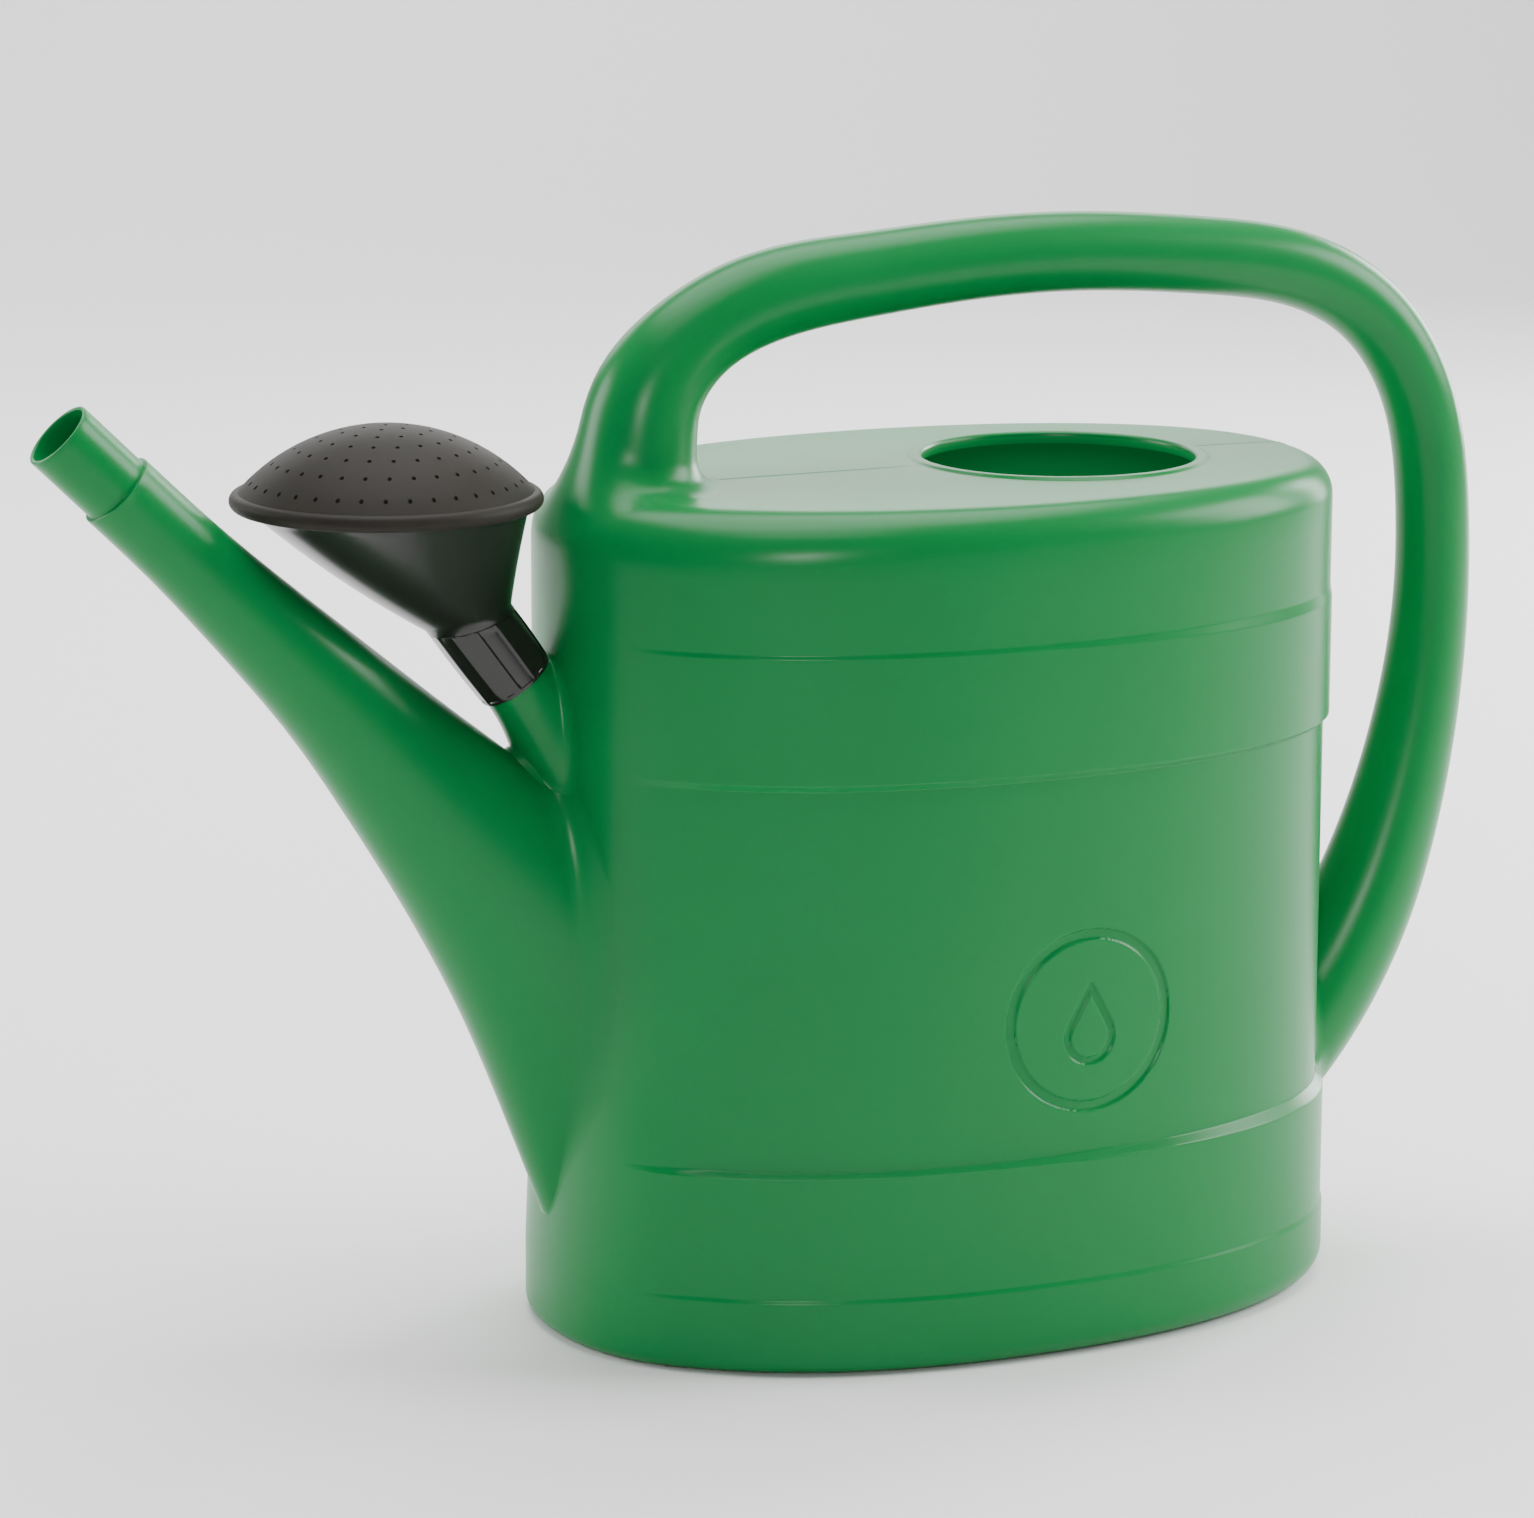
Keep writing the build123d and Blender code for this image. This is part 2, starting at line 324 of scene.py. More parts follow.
CAN_FINISH = MouldedPlastic(
    name="green_polyethylene",
    colour=(0.001, 0.168, 0.036),
    second_colour=(0.0015, 0.192, 0.044),
    roughness=0.30,
    roughness_swing=0.04,
    grain_size=1.6,
    grain_depth=0.012,
    subsurface=0.12,
    specular=0.22,
)
# The inside emits faintly: painted light standing in for light that shines through the translucent wall.
INSIDE_FINISH_PAINTED_GLOW = replace(CAN_FINISH, name="green_polyethylene_inside_painted_glow", roughness=0.42, painted_glow=0.34)
FUNNEL_FINISH = MouldedPlastic(
    name="black_polypropylene_gloss",
    colour=(0.010, 0.010, 0.009),
    second_colour=(0.016, 0.015, 0.013),
    roughness=0.22,
    roughness_swing=0.05,
    grain_size=1.2,
    grain_depth=0.006,
)
FACE_FINISH = MouldedPlastic(
    name="black_polypropylene_matt",
    colour=(0.017, 0.015, 0.012),
    second_colour=(0.026, 0.023, 0.019),
    roughness=0.55,
    roughness_swing=0.05,
    grain_size=0.7,
    grain_depth=0.03,
    cloud_size=25.0,
    specular=0.12,
)
FLOOR_FINISH = MouldedPlastic(
    name="pale_floor",
    colour=(0.86, 0.86, 0.86),
    second_colour=(0.88, 0.88, 0.88),
    roughness=0.8,
    roughness_swing=0.05,
    grain_size=3.0,
    grain_depth=0.0,
    cloud_size=900.0,
    specular=0.1,
)


# ---- the tank ------------------------------------------------------------------------


@dataclass
class Mark:
    """Engraving on the near side: a plain ring round a water drop.

    The mark lies in the plane y = 0 seen from the front, as (x, z), and is pressed into
    the wall. Depth is full where the distance to a stroke's middle is under half its
    width, and runs out over the edge width.
    """

    centre: tuple = (14.8, 112.9)
    ring_radius: float = 28.9
    ring_width: float = 3.4
    depth: float = 0.85
    edge: float = 0.55
    drop_radius: float = 8.2
    drop_low: float = -5.6
    drop_height: float = 17.0
    drop_width: float = 2.3

    @property
    def reach(self) -> float:
        """Half the side of the square that holds the ring, its edge and a margin."""
        return self.ring_radius + self.ring_width / 2.0 + self.edge + 2.0

    def stroke(self, distance: np.ndarray, width: float) -> np.ndarray:
        """Depth of a flat-floored groove, from the distance to its middle and its width at half depth."""
        half = width / 2.0
        return self.depth * smooth_step(distance, half + self.edge / 2.0, half - self.edge / 2.0)

    def drop_distance(self, x: np.ndarray, z: np.ndarray) -> np.ndarray:
        """Signed distance to a drop: a disc drawn out to a point by its two tangents.

        Args:
            x: Places across, from the ring's centre.
            z: Places up, from the ring's centre.

        Returns:
            Distance to the drop's outline, negative inside.
        """
        across = np.abs(x)
        up = z - self.drop_low
        lean = self.drop_radius / self.drop_height
        rise = math.sqrt(1.0 - lean * lean)
        along = up * rise - across * lean
        round_part = np.hypot(across, up) - self.drop_radius
        point_part = np.hypot(across, up - self.drop_height)
        flank = across * rise + up * lean - self.drop_radius
        outside = np.where(along > rise * self.drop_height, point_part, flank)
        return np.where(along < 0.0, round_part, outside)

    def depth_at(self, x: np.ndarray, z: np.ndarray) -> np.ndarray:
        """Depth of the whole engraving.

        Args:
            x: Places along the can.
            z: Heights.

        Returns:
            Depth in millimetres at each place.
        """
        dx, dz = x - self.centre[0], z - self.centre[1]
        ring = self.stroke(np.abs(np.hypot(dx, dz) - self.ring_radius), self.ring_width)
        drop = self.stroke(np.abs(self.drop_distance(dx, dz)), self.drop_width)
        return np.maximum(ring, drop)


@dataclass
class Tank:
    """The tank: a rounded oval wall with stepped bands, a soft shoulder and a slightly domed deck.

    The plan at inset i is the superellipse (|x|/(a-i))^n + (|y|/(b-i))^n = 1. A point of the
    wall is the plan's point at its angle, with the inset that the bands give for its height
    and angle. The fill opening is a round hole in the deck with a raised, rolled edge.
    """

    half_length: float = 141.0
    half_width: float = 92.95
    exponent: float = 2.2
    wall: float = 1.6
    deck: float = 283.0
    crown: float = 0.9
    rear_shoulder: float = 12.0
    front_shoulder: float = 17.0
    base_radii: tuple = (5.5, 9.0)
    foot_width: float = 8.0
    recess: float = 1.2
    ledges: tuple = ((25.2, 0.0, 0.6), (67.4, 0.6, 3.4), (195.7, 3.4, 1.4), (238.6, 1.4, 2.0))
    ledge_rises: tuple = ((1.2, 1.6), (1.6, 3.4), (2.4, 1.6), (1.2, 3.8))
    front_insets: tuple = ((20.0, 56.0, -1.6, -0.6), (56.0, 100.0, -0.6, 1.8))
    fade: tuple = (-130.0, -108.0)
    opening: tuple = (45.0, 46.0)
    lip_width: float = 4.4
    lip_rise: float = 0.9
    lip_round: float = 1.5
    lip_depth: float = 4.2
    lip_inside_rows: int = 9
    dome_reach: float = 47.0
    column_gap: float = 4.7
    row_gap: float = 5.5
    mark_step: float = 0.5
    parting_height: float = 0.22
    parting_width: float = 0.55
    mark: Mark = field(default_factory=Mark)

    def plan(self, angle: np.ndarray, inset: np.ndarray | float) -> np.ndarray:
        """Points of the rounded plan.

        Args:
            angle: Angle parameter of each point.
            inset: How far the plan is set in, a number or an array like angle.

        Returns:
            (x, y) of each point, shape (..., 2).
        """
        c, s = np.cos(angle), np.sin(angle)
        power = 2.0 / self.exponent
        x = (self.half_length - inset) * np.sign(c) * np.abs(c) ** power
        y = (self.half_width - inset) * np.sign(s) * np.abs(s) ** power
        return np.stack([x, y], axis=-1)

    def inset_of(self, x: np.ndarray, y: np.ndarray) -> np.ndarray:
        """Inset of the plan that runs through a point, by Newton's method on the plan's equation.

        Args:
            x: Places along.
            y: Places across.

        Returns:
            Inset at each place, negative outside the ground band's plan.
        """
        inset = np.zeros(np.broadcast(x, y).shape)
        n = self.exponent
        for _ in range(8):
            a, b = self.half_length - inset, self.half_width - inset
            across, along = (np.abs(y) / b) ** n, (np.abs(x) / a) ** n
            g = np.maximum(across + along, 1e-9) ** (1.0 / n)
            rate = g ** (1.0 - n) * (along / a + across / b)
            inset = np.clip(inset - (g - 1.0) / np.maximum(rate, 1e-9), -150.0, self.half_width - 8.0)
        return inset

    def wall_inset(self, x: np.ndarray, z: np.ndarray) -> np.ndarray:
        """Inset of the stepped wall: slanted ledges at the sides and rear, a smooth swell at the front end.

        Args:
            x: Places along the can, which set how much of the steps is left.
            z: Heights.

        Returns:
            Inset of the wall at each place.
        """
        stepped = np.full(np.broadcast(x, z).shape, self.ledges[0][1])
        rearward = smooth_step(x, -20.0, 120.0)
        for (height, below, above), (rise_front, rise_rear) in zip(self.ledges, self.ledge_rises):
            rise = rise_front + (rise_rear - rise_front) * rearward
            stepped = stepped + (above - below) * np.clip((z - height) / rise + 0.5, 0.0, 1.0)
        plain = np.full_like(stepped, self.front_insets[0][2])
        for start, end, below, above in self.front_insets:
            plain = plain + (above - below) * smooth_step(z, start, end)
        share = smooth_step(x, *self.fade)
        return share * stepped + (1.0 - share) * plain

    def shoulder(self, x: np.ndarray) -> np.ndarray:
        """Radius of the shoulder at places along the can, larger at the front end."""
        share = smooth_step(x, -130.0, 20.0)
        return self.front_shoulder + (self.rear_shoulder - self.front_shoulder) * share

    def base_radius(self, x: np.ndarray) -> np.ndarray:
        """Radius of the rounding at the base at places along the can, larger towards the rear."""
        front, rear = self.base_radii
        return front + (rear - front) * smooth_step(x, -110.0, 110.0)

    def deck_height(self, inset: np.ndarray) -> np.ndarray:
        """Height of the domed deck over an inset: it rises along a parabola from the rim inwards."""
        share = np.clip(inset / self.dome_reach, 0.0, 1.0)
        return self.deck + self.crown * (1.0 - (1.0 - share) ** 2)

    def height(self, points: np.ndarray) -> np.ndarray:
        """Height over the tank's outside: the distance to a rounded box in (inset, z).

        Args:
            points: Points, shape (n, 3).

        Returns:
            Signed distance, negative inside, shape (n,).
        """
        x, y, z = points[..., 0], points[..., 1], points[..., 2]
        inset = self.inset_of(x, y)
        radius = self.shoulder(x)
        out = self.wall_inset(x, z) - inset + radius
        over = z - self.deck_height(inset) + radius
        rounded = np.hypot(np.maximum(out, 0.0), np.maximum(over, 0.0))
        return rounded + np.minimum(np.maximum(out, over), 0.0) - radius

    def angles(self) -> np.ndarray:
        """Columns: close together at the mark and at the parting line, wider elsewhere.

        Returns:
            Rising angle parameters over one turn.
        """
        fine = np.linspace(0.0, math.tau, 40001)
        x, y = self.plan(fine, 0.0).T
        path = np.concatenate([[0.0], np.cumsum(np.hypot(np.diff(x), np.diff(y)))])
        near = (y < 0.0) & (x > -120.0) & (x < 125.0)
        order = np.argsort(x[near])
        at_x = (x[near][order], path[near][order])
        reach = self.mark.reach
        middle = self.mark.centre[0]
        marked = np.interp(np.arange(middle - reach, middle + reach, self.mark_step), *at_x)
        half = path[-1] / 2.0
        parting = np.array([-1.8, -1.2, -0.8, -0.4, 0.0, 0.4, 0.8, 1.2, 1.8])
        special = np.concatenate([marked, half + parting, parting[4:], path[-1] + parting[:4]])
        plain = np.arange(2.0, path[-1] - 2.0, self.column_gap)
        gap = np.abs(plain[:, None] - special[None, :]).min(1)
        chosen = np.sort(np.concatenate([special, plain[gap > 1.6]]))
        return np.interp(chosen, path, fine)

    def levels(self) -> np.ndarray:
        """Rows of the wall: close together at each ledge and at the mark, wider elsewhere.

        Returns:
            Rising heights from the top of the base's rounding to the foot of the shoulder.
        """
        half = np.array([0.3, 0.6, 0.85, 1.2, 1.5, 1.75, 2.1, 2.8])
        steps = np.concatenate([-half[::-1], [0.0], half])
        ledges = np.concatenate([height + steps for height, _, _ in self.ledges])
        reach = self.mark.reach
        marked = np.arange(self.mark.centre[1] - reach, self.mark.centre[1] + reach, self.mark_step)
        special = np.concatenate([ledges, marked])
        lowest = max(self.base_radii)
        plain = np.arange(lowest + 0.2, self.deck - self.front_shoulder + 0.1, self.row_gap)
        gap = np.abs(plain[:, None] - special[None, :]).min(1)
        inside = special > lowest + 0.5
        return np.unique(np.round(np.concatenate([special[inside], plain[gap > 1.5]]), 3))

    def wall_rows(self, angle: np.ndarray, levels: np.ndarray, extra: float) -> np.ndarray:
        """Rows up the wall, set in by an extra amount.

        Args:
            angle: Column angles.
            levels: Heights of the rows.
            extra: Wall thickness for the inside, 0 for the outside.

        Returns:
            Points, shape (rows, columns, 3).
        """
        a, z = np.meshgrid(angle, levels)
        x_guess = self.plan(a, 0.0)[..., 0]
        xy = self.plan(a, self.wall_inset(x_guess, z) + extra)
        return np.concatenate([xy, z[..., None]], axis=-1)

    def shoulder_rows(self, angle: np.ndarray, extra: float, count: int) -> np.ndarray:
        """Rows round the shoulder: a quarter circle in (inset, z) at each column.

        Args:
            angle: Column angles.
            extra: Wall thickness for the inside, 0 for the outside.
            count: Number of rows.

        Returns:
            Points, shape (count, columns, 3), from the wall to the deck.
        """
        turn, a = np.meshgrid(np.linspace(0.0, QUARTER, count), angle, indexing="ij")
        x_guess = self.plan(a, 0.0)[..., 0]
        radius = self.shoulder(x_guess)
        start = self.wall_inset(x_guess, np.full_like(turn, self.deck))
        inset = start + radius - (radius - extra) * np.cos(turn)
        z = self.deck_height(inset) - radius + (radius - extra) * np.sin(turn)
        return np.concatenate([self.plan(a, inset), z[..., None]], axis=-1)

    def deck_rows(self, rim: np.ndarray, shares: np.ndarray, circle: float, extra: float) -> np.ndarray:
        """Rows over the deck: straight lines from the rim's points to points of a circle.

        Args:
            rim: Last row of the shoulder, shape (columns, 3).
            shares: Share of the way from the rim to the circle for each row.
            circle: Radius of the circle round the opening's middle.
            extra: Depth below the deck's outside.

        Returns:
            Points, shape (rows, columns, 3).
        """
        bearing = np.arctan2(rim[:, 1], rim[:, 0] - self.opening[0])
        goal = self.ring(bearing, circle, 0.0)
        share = shares[:, None, None]
        rows = (1.0 - share) * rim[None] + share * goal[None]
        rows[..., 2] = self.deck_height(self.inset_of(rows[..., 0], rows[..., 1])) - extra
        return rows

    def ring(self, bearing: np.ndarray, radius: float, z: float) -> np.ndarray:
        """A circle round the opening's middle at a radius and height, one point for each bearing."""
        x = self.opening[0] + radius * np.cos(bearing)
        return np.stack([x, radius * np.sin(bearing), np.full_like(bearing, z)], axis=-1)

    def lip_rows(self, bearing: np.ndarray) -> np.ndarray:
        """Rows over the rolled edge of the opening, down its inside and back up under the deck.

        The edge is a profile of (radius, height over the deck) carried round the opening.

        Args:
            bearing: Bearing of each column from the opening's middle.

        Returns:
            Points, shape (rows, columns, 3).
        """
        hole = self.opening[1]
        turn = np.linspace(0.0, QUARTER, 6)
        over = np.linspace(self.lip_width + 0.9, self.lip_round, 9)
        rise = self.lip_rise * smooth_step(over, self.lip_width + 0.9, self.lip_width - 1.0)
        profile = [(hole + e, r) for e, r in zip(over, rise)]
        bend, edge_middle = self.lip_round, self.lip_rise - self.lip_round
        profile += [(hole + bend * (1.0 - math.sin(t)), edge_middle + bend * math.cos(t)) for t in turn[1:]]
        foot = self.lip_rise - self.lip_depth
        profile += [(hole, foot + 0.5), (hole + 0.25, foot + 0.12), (hole + 0.8, foot)]
        inner = hole + self.wall
        profile += [(hole + 1.35, foot + 0.12), (inner, foot + 0.5), (inner, -self.wall - 1.2)]
        profile += [(inner + 0.5, -self.wall - 0.35), (inner + 1.6, -self.wall)]
        rows = []
        for radius, rise_here in profile:
            row = self.ring(bearing, radius, 0.0)
            beyond = self.ring(bearing, max(radius, hole), 0.0)
            row[:, 2] = self.deck_height(self.inset_of(beyond[:, 0], beyond[:, 1])) + rise_here
            rows.append(row)
        return np.stack(rows)

    def base_rows(self, angle: np.ndarray, z: float, foot: bool) -> np.ndarray:
        """Rows from near the middle of the base out to the wall.

        Args:
            angle: Column angles.
            z: Height of the flat part.
            foot: Whether the base steps down to a standing foot, as it does outside.

        Returns:
            Points, shape (rows, columns, 3).
        """
        x_guess = self.plan(angle, 0.0)[:, 0]
        edge = self.wall_inset(x_guess, np.zeros_like(angle))
        inner = 0.0 if foot else self.wall
        rounding = self.base_radius(x_guess)
        radius = rounding - inner
        flat = edge + rounding
        rows = []
        for share in (0.12, 0.35, 0.6, 0.85):
            rows.append((share * self.plan(angle, flat + self.foot_width + 2.0), z))
        if foot:
            rows.append((self.plan(angle, flat + self.foot_width + 1.4), z))
            rows.append((self.plan(angle, flat + self.foot_width), 0.15))
            rows.append((self.plan(angle, flat + self.foot_width - 0.6), 0.0))
        for turn in np.linspace(0.0, QUARTER, 8):
            inset = flat - radius * math.sin(turn)
            rows.append((self.plan(angle, inset), (0.0 if foot else z) + radius * (1.0 - math.cos(turn))))
        return np.stack([np.column_stack([xy, np.broadcast_to(h, len(xy))]) for xy, h in rows])

    def engraved(self, rows: np.ndarray) -> np.ndarray:
        """Presses the mark into the near side.

        Args:
            rows: Points of the wall, shape (rows, columns, 3).

        Returns:
            The same points, moved across where the mark is.
        """
        near = rows[..., 1] < -self.half_width / 2.0
        depth = self.mark.depth_at(rows[..., 0], rows[..., 2]) * near
        rows[..., 1] += depth
        return rows

    def parted(self, rows: np.ndarray) -> np.ndarray:
        """Lifts points near the plane y = 0 along a bell curve, as the mould's fine parting line."""
        rows[..., 2] += self.parting_height * np.exp(-((rows[..., 1] / self.parting_width) ** 2))
        return rows

    def build(self, finishes: tuple) -> bpy.types.Object:
        """Makes the tank as one closed skin: base, wall, shoulder, deck, lip, and back down inside.

        Args:
            finishes: Materials of the outside and of the inside.

        Returns:
            The tank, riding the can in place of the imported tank.
        """
        angle = self.angles()
        levels = self.levels()
        outside = self.engraved(self.wall_rows(angle, levels, 0.0))
        shoulder = self.shoulder_rows(angle, 0.0, 9)
        bearing = np.arctan2(shoulder[-1, :, 1], shoulder[-1, :, 0] - self.opening[0])
        deck_circle = self.opening[1] + self.lip_width + 0.9
        deck = self.deck_rows(shoulder[-1], np.linspace(0.08, 0.94, 12), deck_circle, 0.0)
        lip = self.lip_rows(bearing)
        inner_circle = self.opening[1] + self.wall + 1.6
        inner_shoulder = self.shoulder_rows(angle, self.wall, 6)[::-1]
        under = self.deck_rows(inner_shoulder[0], np.linspace(0.9, 0.1, 5), inner_circle, self.wall)
        inner_levels = [h + s for h, _, _ in self.ledges for s in (-2.0, 2.0)]
        inner_levels += [45.0, 90.0, 115.0, 140.0, 165.0, 217.0, 255.0]
        inside = self.wall_rows(angle, np.sort(inner_levels)[::-1], self.wall)
        floor = self.base_rows(angle, self.recess + self.wall, False)[::-1]
        outer_top = self.parted(np.concatenate([shoulder, deck]))
        outer = np.concatenate([self.base_rows(angle, self.recess, True), outside, outer_top, lip])
        inner = np.concatenate([under, inner_shoulder, inside, floor])
        inside_from = len(outer) - self.lip_inside_rows
        made = Skin("tank_moulding", np.concatenate([outer, inner]), False, inside_from).build()
        return dress(made, finishes, Body.CAN, "tank")


# ---- spout, handle and peg -----------------------------------------------------------


@dataclass
class Limb:
    """A tube on a path in the plane y = 0 that grows out of the tank.

    The tube's point at path length t and angle f is C(t) + p(t) cos f A(t) + q(t) sin f Y,
    where C, p and q are natural splines through the stations, and A is the direction
    across the path. Where a line of the tube meets the surface it grows from, a cubic
    Bezier curve leads from the line to that surface and ends level with it.
    """

    columns: int = 96
    sink: float = 0.05
    foot_rows: int = 15
    ease: float = 0.66

    def stations(self) -> tuple:
        """Centres (n, 3), half depths (n,) and half widths (n,) of the tube."""
        raise NotImplementedError

    def prepare(self) -> None:
        """Works out the path's parameter from the distances between the stations."""
        centres, depths, widths = self.stations()
        steps = np.linalg.norm(np.diff(centres, axis=0), axis=1)
        self.knots = np.concatenate([[0.0], np.cumsum(steps)])
        self.values = np.column_stack([centres[:, 0], centres[:, 2], depths, widths])

    def at(self, t: np.ndarray) -> tuple:
        """Centre, direction along, direction across, half depth and half width on the path.

        Args:
            t: Path lengths, any shape.

        Returns:
            Five arrays; the first three end in an axis of 3.
        """
        flat = np.asarray(t, float).ravel()
        here = natural_spline(self.knots, self.values, flat)
        ahead = natural_spline(self.knots, self.values, flat + 0.5)
        behind = natural_spline(self.knots, self.values, flat - 0.5)
        zero = np.zeros(len(flat))
        centre = np.column_stack([here[:, 0], zero, here[:, 1]])
        along = unit(np.column_stack([ahead[:, 0] - behind[:, 0], zero, ahead[:, 1] - behind[:, 1]]))
        across = np.column_stack([-along[:, 2], zero, along[:, 0]])
        shape = np.shape(t)
        return (
            centre.reshape(*shape, 3),
            along.reshape(*shape, 3),
            across.reshape(*shape, 3),
            here[:, 2].reshape(shape),
            here[:, 3].reshape(shape),
        )

    def point(self, t: np.ndarray, f: np.ndarray, inset: float = 0.0) -> np.ndarray:
        """Point of the tube.

        Args:
            t: Path lengths.
            f: Angles round the tube, in the shape of t.
            inset: How far the tube is set in.

        Returns:
            Points, in the shape of t with an axis of 3.
        """
        centre, _, across, depth, width = self.at(t)
        out = ((depth - inset) * np.cos(f))[..., None] * across
        out[..., 1] += (width - inset) * np.sin(f)
        return centre + out

    def height(self, points: np.ndarray) -> np.ndarray:
        """Height over the tube, from the nearest of many sections of it.

        Args:
            points: Points, shape (n, 3).

        Returns:
            Signed distance, near enough, shape (n,).
        """
        t = np.linspace(self.knots[0], self.knots[-1], 400)
        centre = self.at(t)[0]
        gaps = ((points[:, None, :] - centre[None]) ** 2).sum(-1)
        near = t[gaps.argmin(1)]
        middle, along, across, depth, width = self.at(near)
        near = np.clip(near + ((points - middle) * along).sum(-1), self.knots[0], self.knots[-1])
        middle, along, across, depth, width = self.at(near)
        a = ((points - middle) * across).sum(-1)
        b = points[:, 1]
        reach = np.hypot(a / depth, b / width)
        steep = np.hypot(a / depth**2, b / width**2) / np.maximum(reach, 1e-6)
        return (reach - 1.0) / np.maximum(steep, 1e-6)

    def seam(self, ground: Callable, outside: float, inside: float, f: np.ndarray) -> np.ndarray:
        """Path length at which each line of the tube meets the ground, by halving.

        Args:
            ground: Height function of the surface the tube grows from.
            outside: Path length at which every line is above the ground.
            inside: Path length at which every line is below it.
            f: Angles of the lines.

        Returns:
            Path length for each line.
        """
        high, low = np.full(len(f), outside), np.full(len(f), inside)
        for _ in range(34):
            middle = (high + low) / 2.0
            above = ground(self.point(middle, f)) > 0.0
            high, low = np.where(above, middle, high), np.where(above, low, middle)
        return (high + low) / 2.0

    def foot(
        self, ground: Callable, outside: float, inside: float, climb: np.ndarray, spread: np.ndarray
    ) -> tuple:
        """Rows of the fillet from the tube down to the ground.

        Args:
            ground: Height function of the surface the tube grows from.
            outside: Path length at which every line is above the ground.
            inside: Path length at which every line is below it.
            climb: How far up the tube the fillet starts, for each line.
            spread: How far out on the ground it ends, for each line.

        Returns:
            Path length at which each line leaves the tube, and points (count, columns, 3).
        """
        f = self.angles()
        meet = self.seam(ground, outside, inside, f)
        way = math.copysign(1.0, outside - inside)
        leave = meet + way * climb
        start, corner = self.point(leave, f), self.point(meet, f)
        normal = unit(slope_of(ground, corner))
        run = unit(np.roll(corner, -1, axis=0) - np.roll(corner, 1, axis=0))
        away = unit(np.cross(normal, run))
        middle = self.at(meet)[0]
        away = away * np.sign(((corner - middle) * away).sum(-1))[:, None]
        end = dropped_on(ground, corner + spread[:, None] * away)
        level = unit(slope_of(ground, end))
        last = end - corner
        last = last - (last * level).sum(-1)[:, None] * level
        tangent = unit(last) * np.linalg.norm(end - corner, axis=-1)[:, None]
        line = self.point(meet + way * (climb + 0.5), f)
        first = unit(start - line) * np.linalg.norm(corner - start, axis=-1)[:, None]
        s = np.linspace(0.0, 1.0, self.foot_rows)[1:, None, None]
        curve = (1 - s) ** 3 * start + 3 * s * (1 - s) ** 2 * (start + self.ease * first)
        curve = curve + 3 * s**2 * (1 - s) * (end - self.ease * tangent) + s**3 * end
        curve = curve - self.sink * s**3 * level[None]
        buried = curve[-1] - 1.2 * level
        return leave, np.concatenate([curve, buried[None]])

    def angles(self) -> np.ndarray:
        """Angles of the tube's lines, evenly spaced over one turn."""
        return np.arange(self.columns) * math.tau / self.columns


